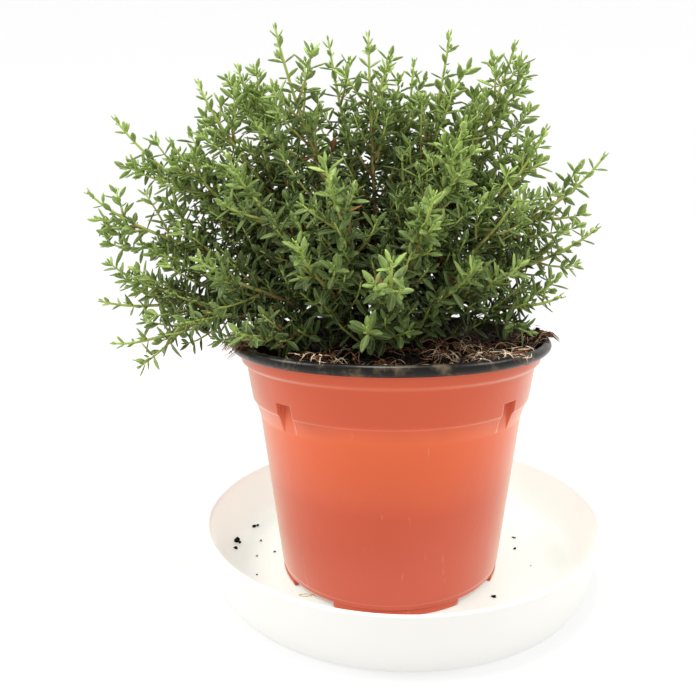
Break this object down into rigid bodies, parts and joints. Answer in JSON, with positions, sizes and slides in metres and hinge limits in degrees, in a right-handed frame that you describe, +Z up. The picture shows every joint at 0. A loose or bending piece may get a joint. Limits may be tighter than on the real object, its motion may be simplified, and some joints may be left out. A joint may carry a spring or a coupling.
{
  "type": "potted thyme",
  "caption": "Bushy thyme with leafy, arching stems in a round terracotta-coloured plastic pot of soil, standing in a white drip saucer.",
  "frame": {"origin": "middle of the saucer's flat underside", "axes": "+Z up, -Y towards the viewer of the picture, +X to that viewer's right"},
  "size_m": [0.2172, 0.1696, 0.2253],
  "materials": {
    "saucer": "white moulded plastic with a soft gloss",
    "pot": "satin terracotta-coloured plastic, black inside and at the lip",
    "soil": "dull, crumbly potting soil with coir fibres",
    "thyme": "satin green leaves on green to reddish-brown woody stems"
  },
  "bodies": {
    "root": {"saucer": "saucer", "pot": "pot", "soil": "soil", "thyme_stem_01": "thyme", "thyme_stem_02": "thyme", "thyme_stem_03": "thyme", "thyme_stem_04": "thyme", "thyme_stem_05": "thyme", "thyme_stem_06": "thyme", "thyme_stem_07": "thyme", "thyme_stem_08": "thyme", "thyme_stem_09": "thyme", "thyme_stem_10": "thyme", "thyme_stem_11": "thyme", "thyme_stem_12": "thyme", "thyme_stem_13": "thyme", "thyme_stem_14": "thyme", "thyme_stem_15": "thyme", "thyme_stem_16": "thyme", "thyme_stem_17": "thyme", "thyme_stem_18": "thyme", "thyme_stem_19": "thyme", "thyme_stem_20": "thyme", "thyme_stem_21": "thyme", "thyme_stem_22": "thyme", "thyme_stem_23": "thyme", "thyme_stem_24": "thyme", "thyme_stem_25": "thyme", "thyme_stem_26": "thyme", "thyme_stem_27": "thyme", "thyme_stem_28": "thyme", "thyme_stem_29": "thyme", "thyme_stem_30": "thyme", "thyme_stem_31": "thyme", "thyme_stem_32": "thyme", "thyme_stem_33": "thyme", "thyme_stem_34": "thyme", "thyme_stem_35": "thyme", "thyme_stem_36": "thyme", "thyme_stem_37": "thyme"}
  },
  "joints": []
}
